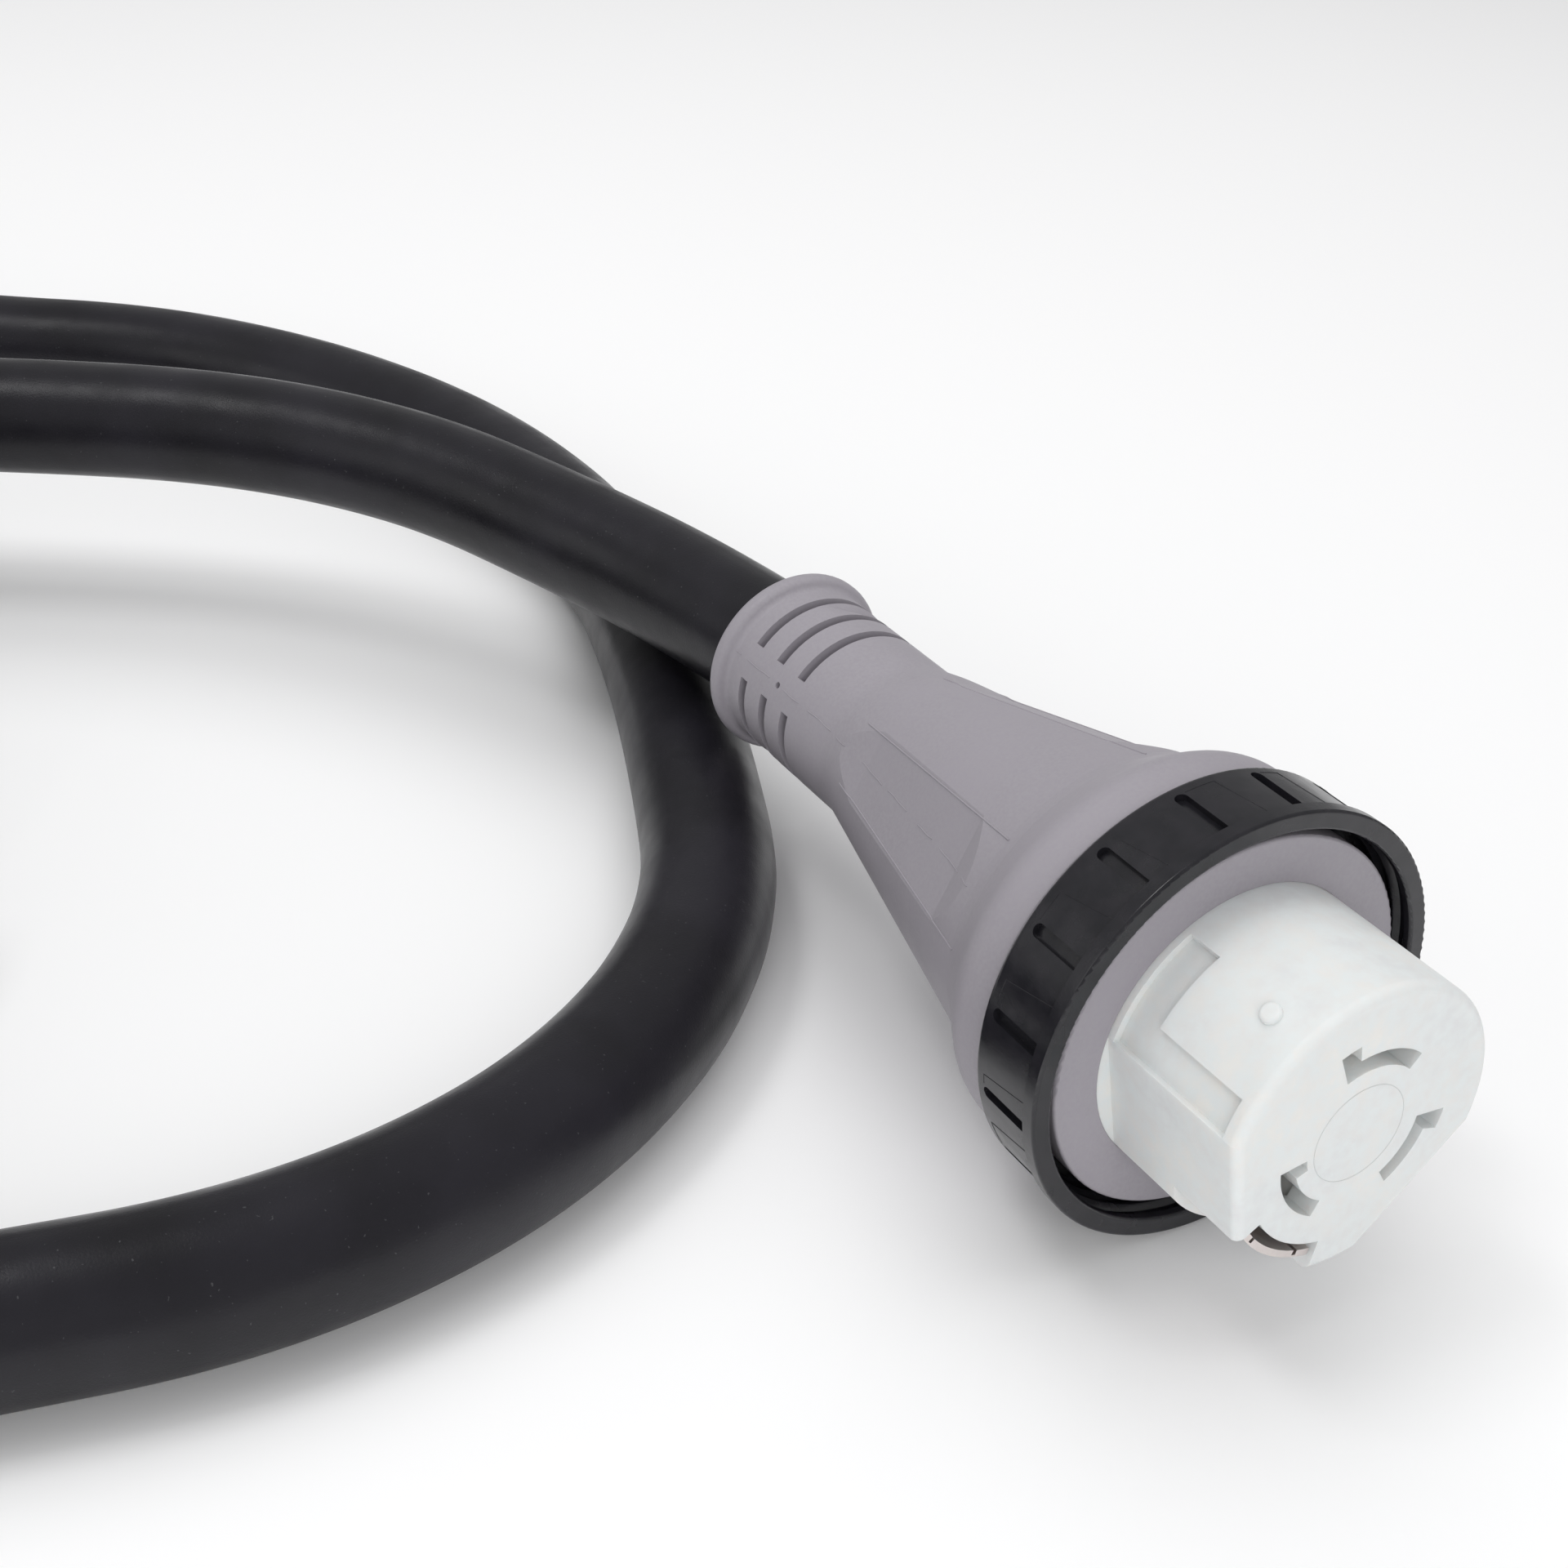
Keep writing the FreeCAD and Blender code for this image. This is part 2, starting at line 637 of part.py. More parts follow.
def connector_conductor(name, angle):
    """One insulated conductor, from the cord end through the jacket to its terminal."""
    near = polar(x_cord_end, conductor_circle, conductor_start_angles()[name])
    far = polar(x_carrier_rear - 1.0, terminal_circle, angle)
    x_splay = x_jacket_front + 7.0
    x_meet = x_carrier_rear - 7.0
    points = [near, V(x_splay, near.y, near.z), V(x_meet, far.y, far.z), far]
    return tube(points, conductor_dia)


def connector_copper():
    """The stripped ends of the four conductors in their terminals."""
    ends = []
    for name, angle in terminal_angles():
        p = polar(x_carrier_rear - 1.0 + part_gap, terminal_circle, angle)
        reach = carrier_thickness - 1.0 - part_gap
        ends.append(Part.makeCylinder(copper_dia / 2.0, reach - 1.0, p, V(1, 0, 0)))
    return Part.makeCompound(ends)


def jacket_end(x0, x1, height):
    """The stretch of cord jacket inside a moulding, bored for the bundle of conductors."""
    bore = conductor_circle + conductor_dia / 2.0 + assembly_gap
    return disc(x0, x1, cord_dia / 2.0, height).cut(disc(x0 - 1.0, x1 + 1.0, bore, height))


# ---------------------------------------------------------------- coil
def coil_inner_turn():
    return coil_outer_turn - coil_pitch * coil_turns / 2.0


def cord_coil():
    """The outer shape of the coil: two layers of turns beside and on each other."""
    r0 = coil_inner_turn() - cord_dia / 2.0
    r1 = coil_outer_turn + cord_dia / 2.0
    height = coil_high - coil_low + cord_dia
    base = coil_centre + V(0, 0, coil_base)
    ring = Part.makeCylinder(r1, height, base).cut(Part.makeCylinder(r0, height, base))
    return rounded(one(ring), cord_dia * 0.4, lambda e: isinstance(e.Curve, Part.Circle))


def coil_strap(angle):
    """A hook-and-loop band round the coil's bundle."""
    inside = coil_inner_turn() - cord_dia / 2.0
    r0 = (inside ** 2 - (strap_width / 2.0) ** 2) ** 0.5 - strap_gap
    r1 = coil_outer_turn + cord_dia / 2.0 + strap_gap
    height = coil_high - coil_low + cord_dia + 2 * strap_gap
    start = V(r0 - strap_thickness, -strap_width / 2.0, 0)
    outer = Part.makeBox(r1 - r0 + 2 * strap_thickness, strap_width, height + 2 * strap_thickness, start)
    inner = Part.makeBox(r1 - r0, strap_width, height, start + V(strap_thickness, 0, strap_thickness))
    lengthwise = lambda e: abs(e.BoundBox.YLength - strap_width) < 0.01
    outer = rounded(outer, cord_dia * 0.4, lengthwise)
    inner = rounded(inner, cord_dia * 0.4 - strap_thickness, lengthwise)
    band = one(outer.cut(inner))
    band.rotate(V(0, 0, 0), V(0, 0, 1), angle)
    band.translate(coil_centre)
    return band


# ---------------------------------------------------------------- plug, built along +X from its cord end
def at_plug(shape):
    """Move a piece from the plug's own frame to where the plug lies."""
    shape.rotate(V(0, 0, 0), V(0, 0, 1), plug_heading)
    shape.translate(V(plug_entry.x, plug_entry.y, 0))
    return shape


x_plug_body = plug_neck_length + plug_taper_length
x_plug_face = x_plug_body + plug_body_length
x_plug_insert = x_plug_face - plug_insert_depth
x_plug_jacket = x_plug_body + 4.0


def plug_block(x0, x1, width, height, radius):
    """A block centred on the plug's axis, rounded along its length."""
    block = Part.makeBox(x1 - x0, width, height, V(x0, -width / 2.0, plug_axis_height - height / 2.0))
    return rounded(block, radius, lambda e: abs(e.BoundBox.XLength - (x1 - x0)) < 0.01)


def plug_handle():
    """The moulded pull handle: an arch over the top of the body."""
    x0 = x_plug_body + 2.0
    x1 = x0 + handle_gap_length + 2 * handle_bar
    top = plug_body_height + handle_gap_height + handle_bar
    sunk = plug_body_height - 4.0
    length, height = x1 - x0, top - sunk
    arch = Part.makeBox(length, handle_width, height, V(x0, -handle_width / 2.0, sunk))
    gap = Part.makeBox(handle_gap_length, handle_width + 2.0, height - handle_bar,
                       V(x0 + handle_bar, -handle_width / 2.0 - 1.0, sunk))
    across = lambda e: e.BoundBox.YLength > handle_width - 0.01 and e.BoundBox.ZMin > sunk + 1.0
    arch = rounded(arch, handle_bar + 4.0, across)
    gap = rounded(gap, 7.0, across)
    return rounded(one(arch.cut(gap)), handle_round, lambda e: (
        e.BoundBox.ZMax > plug_body_height + 2.0 and e.BoundBox.YLength < 0.01))


def plug_overmold():
    """The plug's moulded body with its strain relief and pull handle."""
    neck = revolved([
        (0.0, 0.0), (0.0, plug_bead_radius), (plug_bead_width, plug_bead_radius),
        (plug_bead_width, plug_neck_radius), (plug_neck_length, plug_neck_radius),
        (x_plug_body + 1.0, plug_body_height / 2.0 - 2.0), (x_plug_body + 1.0, 0.0)], plug_axis_height)
    body = plug_block(x_plug_body, x_plug_face, plug_body_width, plug_body_height, plug_body_round)
    ends = lambda e: e.BoundBox.XLength < 0.01
    body = rounded(body, 3.0, ends)
    shell = neck.fuse([body, plug_handle()])
    shell = shell.cut(disc(-1.0, x_plug_jacket, cord_dia / 2.0 + part_gap, plug_axis_height))
    cavity = plug_block(x_plug_jacket, x_plug_insert + 1.0, plug_insert_width - 2 * plug_cavity_step,
                        plug_insert_height - 2 * plug_cavity_step, plug_insert_round)
    seat = plug_block(x_plug_insert, x_plug_face + 1.0, plug_insert_width + 2 * part_gap,
                      plug_insert_height + 2 * part_gap, plug_insert_round)
    shell = shell.cut(cavity).cut(seat)
    for tool in relief_slots(0.0, 1.0, plug_neck_radius, plug_axis_height):
        shell = shell.cut(tool)
    return one(shell)


def blade_places():
    """Name, sideways place and height of each flat blade on the plug's face."""
    return [
        ("line_1", hot_blade_offset, plug_axis_height + 2.0),
        ("line_2", -hot_blade_offset, plug_axis_height + 2.0),
        ("neutral", 0.0, plug_axis_height - neutral_blade_drop),
    ]


def plug_blade(y, z, gap=0.0):
    """A flat brass blade with chamfered tip, reaching back through the insert."""
    x0 = x_plug_insert - blade_tail
    x1 = x_plug_face + plug_insert_proud + blade_reach
    t, w = blade_thickness + 2 * gap, blade_width + 2 * gap
    blade = Part.makeBox(x1 - x0, t, w, V(x0, y - t / 2.0, z - w / 2.0))
    if gap:
        return blade
    return blade.makeChamfer(0.6, [e for e in blade.Edges if e.BoundBox.XMin > x1 - 0.01])


def plug_ground_pin(gap=0.0):
    """The round earth pin: a shank in the insert and a thicker, dome-tipped pin outside."""
    x0 = x_plug_insert - blade_tail
    x_shoulder = x_plug_face + plug_insert_proud + assembly_gap
    x_tip = x_plug_face + plug_insert_proud + ground_pin_reach
    height = V(0, 0, plug_axis_height + ground_pin_rise)
    shank = Part.makeCylinder(ground_pin_shank + gap, x_shoulder - x0, height + V(x0, 0, 0), V(1, 0, 0))
    if gap:
        return shank
    pin = Part.makeCylinder(ground_pin_radius, x_tip - x_shoulder, height + V(x_shoulder, 0, 0), V(1, 0, 0))
    pin = pin.makeFillet(ground_pin_radius * 0.7, [e for e in pin.Edges if e.BoundBox.XMin > x_tip - 0.01])
    return one(shank.fuse(pin))


def plug_insert():
    """The hard carrier that holds the blades."""
    block = plug_block(x_plug_insert, x_plug_face + plug_insert_proud, plug_insert_width,
                       plug_insert_height, plug_insert_round)
    block = rounded(block, 0.8, lambda e: e.BoundBox.XMin > x_plug_face + plug_insert_proud - 0.01)
    for name, y, z in blade_places():
        block = block.cut(plug_blade(y, z, part_gap))
    return one(block.cut(plug_ground_pin(part_gap)))


def plug_wire_ends():
    """Where each conductor's copper lies, beside its blade or pin."""
    beside = blade_thickness / 2.0 + copper_dia / 2.0 + part_gap
    ends = {}
    for name, y, z in blade_places():
        ends[name] = (y - beside if y > 0 else y + beside, z)
    below = ground_pin_shank + copper_dia / 2.0 + part_gap
    ends["ground"] = (0.0, plug_axis_height + ground_pin_rise - below)
    return ends


def plug_conductor(name):
    """One conductor from the plug's cord end to the tail of its blade."""
    a = math.radians({"line_1": 0.0, "ground": 90.0, "line_2": 180.0, "neutral": 270.0}[name])
    near = V(0, conductor_circle * math.cos(a), plug_axis_height + conductor_circle * math.sin(a))
    y, z = plug_wire_ends()[name]
    x_end = x_plug_insert - blade_tail - 0.5
    points = [near, V(x_plug_jacket + 4.0, near.y, near.z), V(x_end - 4.0, y, z), V(x_end, y, z)]
    return tube(points, conductor_dia)


def plug_copper():
    """The stripped ends beside the blades' tails."""
    x_end = x_plug_insert - blade_tail - 0.5 + part_gap
    ends = []
    for name, (y, z) in sorted(plug_wire_ends().items()):
        ends.append(Part.makeCylinder(copper_dia / 2.0, blade_tail - 1.0, V(x_end, y, z), V(1, 0, 0)))
    return Part.makeCompound(ends)


# ---------------------------------------------------------------- build
os.makedirs("parts", exist_ok=True)

save("connector_overmold", connector_overmold())
save("inner_premold", inner_premold())
save("nose_insert", nose_insert())
save("contact_carrier", contact_carrier())
for slot in contact_slots:
    save("contact_" + slot[0], contact(slot))
save("ground_contact", ground_contact())
save("insert_screws", insert_screws())
save("locking_ring", locking_ring())
save("jacket_end_connector", jacket_end(x_cord_end, x_jacket_front, axis_height))
for name, angle in terminal_angles():
    save("conductor_" + name, connector_conductor(name, angle))
save("copper_ends_connector", connector_copper())

save("cord_lead", tube(lead_route, cord_dia, "lead"))
save("cord_run", tube(run_route, cord_dia, "run"))
save("cord_coil", cord_coil())
for i, angle in enumerate(strap_angles):
    save("coil_strap_%d" % (i + 1), coil_strap(angle))

save("plug_overmold", at_plug(plug_overmold()))
save("plug_insert", at_plug(plug_insert()))
for name, y, z in blade_places():
    save("plug_blade_" + name, at_plug(plug_blade(y, z)))
save("plug_ground_pin", at_plug(plug_ground_pin()))
save("jacket_end_plug", at_plug(jacket_end(0.0, x_plug_jacket, plug_axis_height)))
for name in ("line_1", "line_2", "neutral", "ground"):
    save("plug_conductor_" + name, at_plug(plug_conductor(name)))
save("copper_ends_plug", at_plug(plug_copper()))

mean_turn = (coil_outer_turn + coil_inner_turn()) / 2.0
coil_length = coil_turns * 2 * math.pi * mean_turn
total = path_of(lead_route).Length + coil_length + path_of(run_route).Length
print("coil: %.0f mm of cord, %.1f diameters across at the middle of its turns" % (
    coil_length, 2 * mean_turn / cord_dia))
print("cord: %.0f mm from the connector to the plug" % total)
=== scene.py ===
"""Looks of the shore power cord: camera, light, cord, straps, moulding marks and materials."""

import bpy
import bmesh
import json
import math
from mathutils import Matrix, Vector
from mathutils.bvhtree import BVHTree


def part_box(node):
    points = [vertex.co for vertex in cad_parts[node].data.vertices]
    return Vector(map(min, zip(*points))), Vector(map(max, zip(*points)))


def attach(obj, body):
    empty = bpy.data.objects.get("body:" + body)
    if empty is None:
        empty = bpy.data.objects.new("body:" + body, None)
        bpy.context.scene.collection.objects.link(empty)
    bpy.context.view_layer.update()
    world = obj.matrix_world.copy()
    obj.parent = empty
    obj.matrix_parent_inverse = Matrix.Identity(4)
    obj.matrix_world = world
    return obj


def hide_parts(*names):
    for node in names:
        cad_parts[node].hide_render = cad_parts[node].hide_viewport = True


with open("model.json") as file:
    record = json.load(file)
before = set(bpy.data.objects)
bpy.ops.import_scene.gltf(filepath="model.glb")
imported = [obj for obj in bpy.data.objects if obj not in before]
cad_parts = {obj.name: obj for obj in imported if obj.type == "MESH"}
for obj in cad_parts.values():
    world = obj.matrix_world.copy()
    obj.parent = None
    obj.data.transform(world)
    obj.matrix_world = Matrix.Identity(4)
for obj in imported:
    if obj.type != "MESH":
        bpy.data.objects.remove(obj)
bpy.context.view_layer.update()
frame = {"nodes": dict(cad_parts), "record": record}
nodes = frame["nodes"]
MM = 0.001


def corners(node):
    """A node's lowest and highest corners as vectors."""
    low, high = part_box(node)
    return Vector(low), Vector(high)


# ---------------------------------------------------------------- places from the frame
ring_low, ring_high = corners("locking_ring")
axis_height = (ring_low.z + ring_high.z) / 2.0
cord_end = corners("connector_overmold")[0].x
nose_front = corners("nose_insert")[1].x
cord_radius = 12.5 * MM


def polar(x, radius, degrees):
    """A point of the connector at a distance and an angle from its axis."""
    a = math.radians(degrees)
    return Vector((x, radius * math.cos(a), axis_height + radius * math.sin(a)))


# ---------------------------------------------------------------- camera
CAMERA_AT = Vector((0.2467, -0.2097, 0.2466))
HEADING = -57.13  # from +Y towards +X
PITCH = 31.49  # downwards
ROLL = 3.51
LENS = 52.5


def make_camera():
    """The camera at the photograph's viewing angle."""
    h, p, r = (math.radians(v) for v in (HEADING, PITCH, ROLL))
    ahead = Vector((math.sin(h) * math.cos(p), math.cos(h) * math.cos(p), -math.sin(p)))
    level = Vector((math.cos(h), -math.sin(h), 0.0))
    above = level.cross(ahead)
    right = level * math.cos(r) + above * math.sin(r)
    up = above * math.cos(r) - level * math.sin(r)
    turn = Matrix((right, up, -ahead)).transposed().to_4x4()
    camera = bpy.data.objects.new("camera", bpy.data.cameras.new("camera"))
    camera.data.lens = LENS
    camera.data.sensor_width = 36.0
    camera.data.clip_start = 0.01
    camera.matrix_world = Matrix.Translation(CAMERA_AT) @ turn
    bpy.context.scene.collection.objects.link(camera)
    bpy.context.scene.camera = camera


make_camera()


# ---------------------------------------------------------------- materials
class Finish:
    """A procedural material: a Principled shader with noise on its colour, roughness and surface."""

    def __init__(self, name, colour, roughness, **sockets):
        self.material = bpy.data.materials.new(name)
        self.material.use_nodes = True
        self.tree = self.material.node_tree
        self.shader = self.tree.nodes["Principled BSDF"]
        self.colour = colour
        self.shader.inputs["Base Color"].default_value = (*colour, 1.0)
        self.shader.inputs["Roughness"].default_value = roughness
        for socket, value in sockets.items():
            self.shader.inputs[socket.replace("_", " ")].default_value = value
        self.place = self.tree.nodes.new("ShaderNodeTexCoord").outputs["Object"]

    def noise(self, scale, detail=3.0, stretch=None):
        """A noise pattern with about scale features per metre."""
        node = self.tree.nodes.new("ShaderNodeTexNoise")
        node.inputs["Scale"].default_value = scale
        node.inputs["Detail"].default_value = detail
        source = self.place
        if stretch:
            mapping = self.tree.nodes.new("ShaderNodeMapping")
            mapping.inputs["Scale"].default_value = stretch
            self.tree.links.new(source, mapping.inputs["Vector"])
            source = mapping.outputs["Vector"]
        self.tree.links.new(source, node.inputs["Vector"])
        return node.outputs["Fac"]

    def ranged(self, source, low, high, start=0.3, stop=0.7):
        """A pattern spread between two values."""
        node = self.tree.nodes.new("ShaderNodeMapRange")
        for socket, value in zip(("From Min", "From Max", "To Min", "To Max"), (start, stop, low, high)):
            node.inputs[socket].default_value = value
        self.tree.links.new(source, node.inputs["Value"])
        return node.outputs["Result"]

    def mottle(self, scale, other, detail=4.0, start=0.35, stop=0.65):
        """Blend the colour towards another one in soft patches."""
        mix = self.tree.nodes.new("ShaderNodeMix")
        mix.data_type = "RGBA"
        before = self.shader.inputs["Base Color"]
        if before.is_linked:
            self.tree.links.new(before.links[0].from_socket, mix.inputs[6])
        else:
            mix.inputs[6].default_value = (*self.colour, 1.0)
        mix.inputs[7].default_value = (*other, 1.0)
        factor = self.ranged(self.noise(scale, detail), 0.0, 1.0, start, stop)
        self.tree.links.new(factor, mix.inputs[0])
        self.tree.links.new(mix.outputs[2], before)
        return self

    def uneven(self, scale, low, high, stretch=None):
        """Vary the roughness in patches."""
        patches = self.ranged(self.noise(scale, 4.0, stretch), low, high)
        self.tree.links.new(patches, self.shader.inputs["Roughness"])
        return self

    def grain(self, *layers):
        """Raise the surface with noise layers of (scale, height in metres, stretch)."""
        previous = None
        for scale, height, stretch in layers:
            bump = self.tree.nodes.new("ShaderNodeBump")
            bump.inputs["Distance"].default_value = height
            self.tree.links.new(self.noise(scale, 2.0, stretch), bump.inputs["Height"])
            if previous:
                self.tree.links.new(previous, bump.inputs["Normal"])
            previous = bump.outputs["Normal"]
        self.tree.links.new(previous, self.shader.inputs["Normal"])
        return self


def overmold_grey():
    """Soft grey moulding, finely textured, with faint cloudy flow marks."""
    finish = Finish("overmold_grey", (0.345, 0.322, 0.360), 0.5, Specular_IOR_Level=0.4)
    finish.mottle(45.0, (0.328, 0.308, 0.340)).mottle(1600.0, (0.35, 0.33, 0.362), 2.0)
    return finish.uneven(140.0, 0.48, 0.58).grain((4200.0, 0.000015, None), (120.0, 0.00005, None)).material


def ring_black():
    """Glossy black moulding with slight waviness and fine scuffs."""
    finish = Finish("ring_black", (0.010, 0.010, 0.013), 0.22, Specular_IOR_Level=0.5)
    finish.mottle(300.0, (0.016, 0.015, 0.019))
    return finish.uneven(220.0, 0.16, 0.30).grain((160.0, 0.00008, None), (2500.0, 0.00001, None)).material


def cord_black():
    """Satin black jacket with shallow unevenness and specks of dust."""
    finish = Finish("cord_black", (0.0075, 0.007, 0.0095), 0.33, Specular_IOR_Level=0.34)
    finish.mottle(35.0, (0.015, 0.014, 0.019)).mottle(1500.0, (0.05, 0.05, 0.055), 1.0, 0.74, 0.80)
    return finish.uneven(90.0, 0.31, 0.42).grain((70.0, 0.00035, None), (2600.0, 0.00003, None)).material


def nose_white():
    """Milky nylon that lets a little light in, with soft flow marks."""
    finish = Finish("nose_white", (0.735, 0.75, 0.755), 0.42, Specular_IOR_Level=0.4)
    finish.shader.inputs["Subsurface Weight"].default_value = 0.35
    finish.shader.inputs["Subsurface Radius"].default_value = (1.0, 0.85, 0.8)
    finish.shader.inputs["Subsurface Scale"].default_value = 0.003
    finish.mottle(70.0, (0.82, 0.81, 0.78)).mottle(420.0, (0.77, 0.80, 0.80))
    return finish.uneven(200.0, 0.36, 0.52).grain((220.0, 0.0001, None), (2400.0, 0.00002, None)).material


def metal(name, colour, roughness, other, stretch=None):
    """Stamped or plated metal with faint rolling marks."""
    finish = Finish(name, colour, roughness, Metallic=1.0)
    finish.mottle(300.0, other)
    finish.uneven(400.0, roughness - 0.06, roughness + 0.1, stretch)
    return finish.grain((1800.0, 0.00002, stretch)).material


def plastic(name, colour, roughness=0.5):
    """Plain moulded plastic or wire insulation with a fine grain."""
    finish = Finish(name, colour, roughness)
    finish.mottle(250.0, tuple(c * 0.88 for c in colour))
    return finish.uneven(300.0, roughness - 0.05, roughness + 0.08).grain((1500.0, 0.00003, None)).material


def strap_fabric():
    """Woven loop fabric: a fine cross weave with fuzz."""
    finish = Finish("strap_fabric", (0.022, 0.022, 0.026), 0.85, Sheen_Weight=0.4, Sheen_Roughness=0.5)
    finish.mottle(700.0, (0.05, 0.05, 0.055), 3.0)
    return finish.grain((1400.0, 0.0002, None), (500.0, 0.0001, None)).material


finishes = {
    "overmold_grey": overmold_grey(),
    "ring_black": ring_black(),
    "cord_black": cord_black(),
    "nose_white": nose_white(),
    "premold_black": plastic("premold_black", (0.03, 0.03, 0.034)),
    "wire_black": plastic("wire_black", (0.02, 0.02, 0.022)),
    "wire_red": plastic("wire_red", (0.45, 0.02, 0.015)),
    "wire_white": plastic("wire_white", (0.72, 0.71, 0.67)),
    "wire_green": plastic("wire_green", (0.015, 0.2, 0.05)),
    "copper": metal("copper", (0.85, 0.45, 0.28), 0.38, (0.75, 0.36, 0.22)),
    "brass": metal("brass", (0.80, 0.62, 0.30), 0.30, (0.72, 0.54, 0.25)),
    "nickel": metal("nickel", (0.80, 0.74, 0.71), 0.34, (0.72, 0.66, 0.64)),
    "steel": metal("steel", (0.62, 0.62, 0.63), 0.30, (0.5, 0.5, 0.52)),
    "strap_black": strap_fabric(),
}
for entry in frame["record"]["subparts"]:
    cad_mesh = nodes[entry["node"]].data
    finish = finishes[entry["material_slot"]]
    if not cad_mesh.materials:
        cad_mesh.materials.append(finish)
    for i in range(len(cad_mesh.materials)):
        cad_mesh.materials[i] = finish


# ---------------------------------------------------------------- the cord
# In metres.  The run's points are those of the CAD route.  So are the lead's, except that the four
# after its first are moved to follow the photograph.
LEAD = [
    (-0.07875, 0.0, 0.038),
    (-0.107, -0.0028, 0.0376),
    (-0.143, -0.015, 0.0394),
    (-0.180, -0.0315, 0.0422),
    (-0.214, -0.0605, 0.0434),
    (-0.243, -0.103, 0.0428),
    (-0.270, -0.153, 0.0416),
    (-0.295, -0.1855, 0.0402),
]
RUN = [
    (-0.0225, -0.273, 0.0133),
    (-0.012, -0.225, 0.0125),
    (-0.0025, -0.182, 0.0125),
    (0.0068, -0.140, 0.0125),
    (0.002, -0.099, 0.0125),
    (-0.016, -0.0625, 0.0125),
    (-0.046, -0.0335, 0.0125),
    (-0.084, -0.017, 0.0125),
    (-0.124, -0.0015, 0.0125),
    (-0.167, 0.011, 0.0125),
    (-0.212, 0.0155, 0.0125),
    (-0.260, 0.0085, 0.0125),
    (-0.305, -0.0105, 0.0125),
    (-0.344, -0.041, 0.0125),
    (-0.370, -0.083, 0.0125),
    (-0.391, -0.127, 0.0175),
    (-0.408, -0.168, 0.024),
    (-0.4255, -0.208, 0.024),
]
coil_low, coil_high = corners("cord_coil")
coil_centre = (coil_low + coil_high) / 2.0
LEAD_JOINS_AT = 140.0  # where the lead runs into the outermost turn, in degrees round the coil
COIL_TURNS = 3.5 + (180.0 - LEAD_JOINS_AT) / 360.0
COIL_STEPS = 18  # points in each turn
COIL_PITCH = 25.4 * MM


def coil_points():
    """Half the turns wind inwards on the upper layer and half outwards on the lower one."""
    outer = (coil_high.x - coil_low.x) / 2.0 - cord_radius
    upper = coil_high.z - cord_radius
    lower = coil_low.z + cord_radius
    widen = 1.0 / math.cos(math.pi / COIL_STEPS)
    half = COIL_TURNS / 2.0
    points = []
    count = round(COIL_TURNS * COIL_STEPS)
    for i in range(count + 1):
        turn = i / COIL_STEPS
        radius = (outer - COIL_PITCH * (half - abs(turn - half))) * widen
        drop = min(max((turn - half) / 0.36 + 0.5, 0.0), 1.0)
        drop = drop * drop * (3.0 - 2.0 * drop)
        angle = math.radians(LEAD_JOINS_AT) + 2.0 * math.pi * turn
        points.append((
            coil_centre.x + radius * math.cos(angle),
            coil_centre.y + radius * math.sin(angle),
            upper + (lower - upper) * drop))
    return points


def nurbs(name, points, radius, finish):
    """A round cord along one smooth line."""
    curve = bpy.data.curves.new(name, "CURVE")
    curve.dimensions = "3D"
    spline = curve.splines.new("NURBS")
    spline.points.add(len(points) - 1)
    for point, place in zip(spline.points, points):
        point.co = (*place, 1.0)
    spline.order_u = 3
    spline.use_endpoint_u = True
    curve.resolution_u = 16
    curve.bevel_depth = radius
    curve.bevel_resolution = 12
    curve.use_fill_caps = True
    curve.materials.append(finish)
    piece = bpy.data.objects.new(name, curve)
    bpy.context.scene.collection.objects.link(piece)
    return piece


cord = nurbs("shore_cord", LEAD + coil_points() + RUN, cord_radius, finishes["cord_black"])
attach(cord, "cordset")
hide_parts("cord_lead", "cord_run", "cord_coil")


# ---------------------------------------------------------------- straps
STRAP_WIDTH = 25.0 * MM
STRAP_THICKNESS = 1.4 * MM
STRAP_ANGLES = (60.0, 240.0)
INNER_EDGE = 105.8 * MM  # the coil's hole, measured at the strap's edges


def bundle_outline(out, corner, steps=7):
    """A rounded rectangle round the coil's bundle, as (radius from the coil's middle, height) points."""
    inner = INNER_EDGE - out
    outer = (coil_high.x - coil_low.x) / 2.0 + out
    low, high = coil_low.z - out, coil_high.z + out
    middles = [(outer - corner, high - corner, 0), (inner + corner, high - corner, 90),
               (inner + corner, low + corner, 180), (outer - corner, low + corner, 270)]
    points = []
    for u, w, first in middles:
        for k in range(steps + 1):
            a = math.radians(first + 90.0 * k / steps)
            points.append((u + corner * math.cos(a), w + corner * math.sin(a)))
    return points


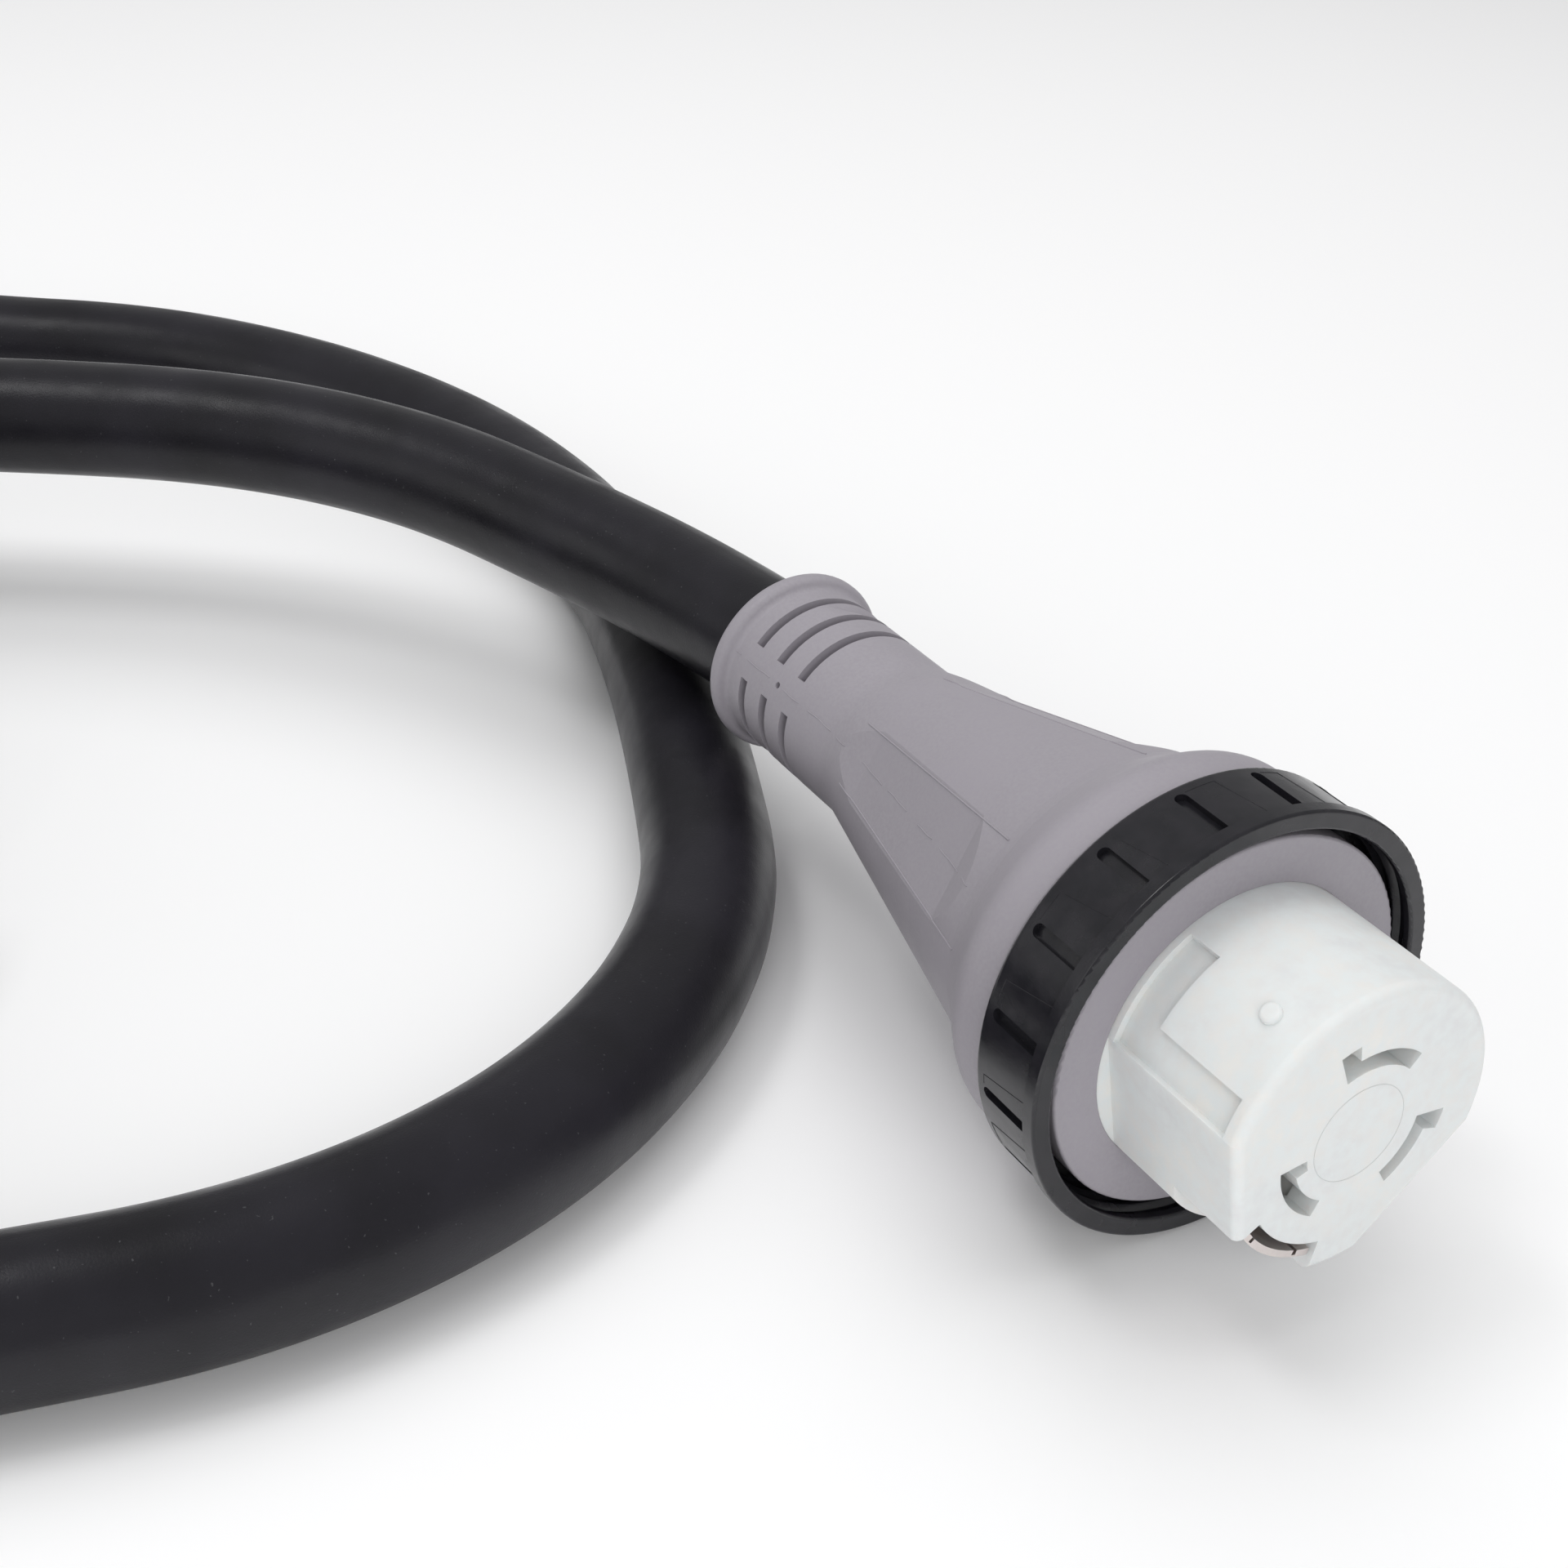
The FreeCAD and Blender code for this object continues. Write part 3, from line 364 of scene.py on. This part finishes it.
def band(name, outline, thickness, angle, width, closed=True):
    """A woven band that follows an outline across the coil, crowned a little over its width."""
    ribs = [(-0.5, 0.55), (-0.47, 0.9), (-0.2, 1.0), (0.2, 1.0), (0.47, 0.9), (0.5, 0.55)]
    mesh = bmesh.new()
    a = math.radians(angle)
    along, across = Vector((math.cos(a), math.sin(a), 0)), Vector((-math.sin(a), math.cos(a), 0))
    count = len(outline)
    rings = []
    for i, (u, w) in enumerate(outline):
        before = outline[i - 1] if closed or i else outline[i]
        after = outline[(i + 1) % count] if closed or i < count - 1 else outline[i]
        tangent = Vector((after[0] - before[0], after[1] - before[1])).normalized()
        normal = Vector((tangent.y, -tangent.x))
        ring = []
        for place, share in ribs:
            lift = normal * thickness * share
            point = along * (u + lift.x) + across * (place * width)
            ring.append(mesh.verts.new((coil_centre.x + point.x, coil_centre.y + point.y, w + lift.y)))
        for place, share in reversed(ribs):
            point = along * u + across * (place * width)
            ring.append(mesh.verts.new((coil_centre.x + point.x, coil_centre.y + point.y, w)))
        rings.append(ring)
    size = len(rings[0])
    for i in range(count if closed else count - 1):
        one, two = rings[i], rings[(i + 1) % count]
        for k in range(size):
            mesh.faces.new((one[k], one[(k + 1) % size], two[(k + 1) % size], two[k]))
    if not closed:
        mesh.faces.new(rings[0])
        mesh.faces.new(list(reversed(rings[-1])))
    bmesh.ops.recalc_face_normals(mesh, faces=mesh.faces)
    data = bpy.data.meshes.new(name)
    mesh.to_mesh(data)
    mesh.free()
    for polygon in data.polygons:
        polygon.use_smooth = True
    data.materials.append(finishes["strap_black"])
    piece = bpy.data.objects.new(name, data)
    bpy.context.scene.collection.objects.link(piece)
    smoothing = piece.modifiers.new("soft_edges", "SUBSURF")
    smoothing.levels = 1
    smoothing.render_levels = 2
    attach(piece, "cordset")
    return piece


def make_straps():
    """Each strap is a loop with its free end pressed down over the outer side."""
    pieces = []
    for i, angle in enumerate(STRAP_ANGLES):
        node = "coil_strap_%d" % (i + 1)
        loop = band("strap_loop_%d" % (i + 1), bundle_outline(0.35 * MM, 10.0 * MM), STRAP_THICKNESS, angle,
                    STRAP_WIDTH)
        whole = bundle_outline(1.8 * MM, 11.4 * MM)
        start = len(whole) // 8
        tab = whole[-3:] + whole[:start + 12]
        tail = band("strap_tail_%d" % (i + 1), tab, 1.2 * MM, angle, STRAP_WIDTH * 0.96, closed=False)
        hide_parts(node)
        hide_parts(node)
        pieces += [loop, tail]
    return pieces


straps = make_straps()


# ---------------------------------------------------------------- moulding marks
def tree_of(node):
    """A node's surface, for finding where a line lies on it."""
    data = nodes[node].data
    return BVHTree.FromPolygons([v.co for v in data.vertices], [p.vertices for p in data.polygons])


def on_surface(tree, x, degrees, reach=60.0 * MM):
    """The point of the connector's outside at a place along its axis and an angle."""
    start, middle = polar(x, reach, degrees), polar(x, 0.0, degrees)
    hit = tree.ray_cast(start, (middle - start).normalized(), reach)[0]
    return hit if hit is not None else middle


def fine_line(name, strips, radius, slot, body):
    """Thin raised lines of moulding flash, half sunk in the surface."""
    curve = bpy.data.curves.new(name, "CURVE")
    curve.dimensions = "3D"
    for points in strips:
        spline = curve.splines.new("POLY")
        spline.points.add(len(points) - 1)
        for point, place in zip(spline.points, points):
            point.co = (*place, 1.0)
    curve.bevel_depth = radius
    curve.bevel_resolution = 2
    curve.use_fill_caps = True
    curve.materials.append(finishes[slot])
    piece = bpy.data.objects.new(name, curve)
    bpy.context.scene.collection.objects.link(piece)
    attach(piece, body)


MOLD_LINE = 154.0  # angle of the shell's mould line, in degrees round the axis
PAD_HALF_ANGLE = 19.0  # from a pad's middle to its edge
MARKS_END = 98.0 * MM  # how far the shell's lines reach from the cord end


def parting_lines():
    """The shell's mould line on both sides, broken where it was trimmed."""
    tree = tree_of("connector_overmold")
    start, stop = cord_end + 4.6 * MM, cord_end + MARKS_END
    for k, side in enumerate((MOLD_LINE, MOLD_LINE - 180.0)):
        strips, points = [], []
        for i in range(120):
            x = start + (stop - start) * i / 119
            wander = 0.35 * math.sin(i * 0.31 + k) + 0.2 * math.sin(i * 0.83)
            gap = math.sin(i * 0.47 + 2.0 * k) > 0.86 or math.sin(i * 0.19 + 1.1) < -0.93
            if gap and len(points) > 1:
                strips.append(points)
            points = [] if gap else points + [on_surface(tree, x, side + wander)]
        strips.append(points)
        whole = [p for p in strips if len(p) > 1]
        fine_line("parting_line_%d" % (k + 1), whole, 0.11 * MM, "overmold_grey", "cordset")


def pad_edges():
    """Soft raised creases along the edges of the pads on the cone."""
    tree = tree_of("connector_overmold")
    start, stop = cord_end + 46.5 * MM, cord_end + MARKS_END
    strips = []
    for k in range(4):
        for edge in (-PAD_HALF_ANGLE, PAD_HALF_ANGLE):
            angle = MOLD_LINE + 90.0 * k + edge
            strips.append([on_surface(tree, start + (stop - start) * i / 40, angle) for i in range(41)])
    fine_line("pad_creases", strips, 0.16 * MM, "overmold_grey", "cordset")


GRIPS = 16
FIRST_GRIP = 78.75  # angle of the first groove, in degrees


def ring_flash():
    """Fine flash lines that step round the ring from groove to groove."""
    tree = tree_of("locking_ring")
    pitch = 360.0 / GRIPS
    rear, front = ring_high.x - 13.4 * MM, ring_high.x - 3.0 * MM
    strips = []
    for k in range(GRIPS):
        first = FIRST_GRIP + k * pitch
        rise = 0.35 + 0.15 * math.sin(k * 2.3)
        places = [(rear, first - 2.2), (rear, first - pitch * rise), (front, first - pitch * (rise + 0.12)),
                  (front, first - pitch + 2.2)]
        points = []
        for (x0, a0), (x1, a1) in zip(places, places[1:]):
            for i in range(9):
                t = i / 8
                points.append(on_surface(tree, x0 + (x1 - x0) * t, a0 + (a1 - a0) * t))
        strips.append(points)
    fine_line("ring_flash", strips, 0.07 * MM, "ring_black", "ring")


def face_circle():
    """The faint step round the middle of the nose's face."""
    radius = 8.4 * MM
    points = [polar(nose_front - 0.01 * MM, radius, 3.0 * i) for i in range(121)]
    fine_line("face_circle", [points], 0.05 * MM, "nose_white", "cordset")


parting_lines()
pad_edges()
ring_flash()
face_circle()


# ---------------------------------------------------------------- floor and light
def make_floor():
    """A plain pale floor."""
    mesh = bpy.data.meshes.new("floor")
    size = 6.0
    places = [(-size, -size, 0), (size, -size, 0), (size, size, 0), (-size, size, 0)]
    mesh.from_pydata(places, [], [(0, 1, 2, 3)])
    finish = Finish("floor_pale", (0.98, 0.98, 0.985), 0.9, Specular_IOR_Level=0.1)
    mesh.materials.append(finish.material)
    floor = bpy.data.objects.new("floor", mesh)
    floor.location.z = -0.0002
    bpy.context.scene.collection.objects.link(floor)


def area_light(name, at, towards, size, power, mirrored=True):
    """A soft rectangular light, which glossy surfaces may or may not mirror."""
    data = bpy.data.lights.new(name, "AREA")
    data.shape = "RECTANGLE"
    data.size, data.size_y = size
    data.energy = power
    light = bpy.data.objects.new(name, data)
    light.location = at
    light.rotation_euler = (Vector(towards) - Vector(at)).to_track_quat("-Z", "Y").to_euler()
    light.visible_glossy = mirrored
    bpy.context.scene.collection.objects.link(light)


def make_light():
    """A broad soft light above, a smaller one that draws the sheen on the cord, and a white surround."""
    middle = (-0.05, -0.05, 0.03)
    area_light("top_light", (-0.35, 0.20, 1.25), middle, (1.3, 1.5), 9.0, mirrored=False)
    area_light("sheen_light", (-0.25, -0.40, 1.0), middle, (0.36, 0.26), 1.5)
    area_light("front_light", (0.95, -0.45, 0.55), middle, (0.9, 0.7), 4.9, mirrored=False)
    area_light("left_light", (-0.3, -1.1, 0.5), middle, (0.8, 0.5), 1.0)
    world = bpy.data.worlds.new("surround")
    world.use_nodes = True
    world.node_tree.nodes["Background"].inputs["Color"].default_value = (1.0, 1.0, 1.0, 1.0)
    world.node_tree.nodes["Background"].inputs["Strength"].default_value = 0.4
    bpy.context.scene.world = world


make_floor()
make_light()
bpy.context.scene.view_settings.view_transform = "Standard"
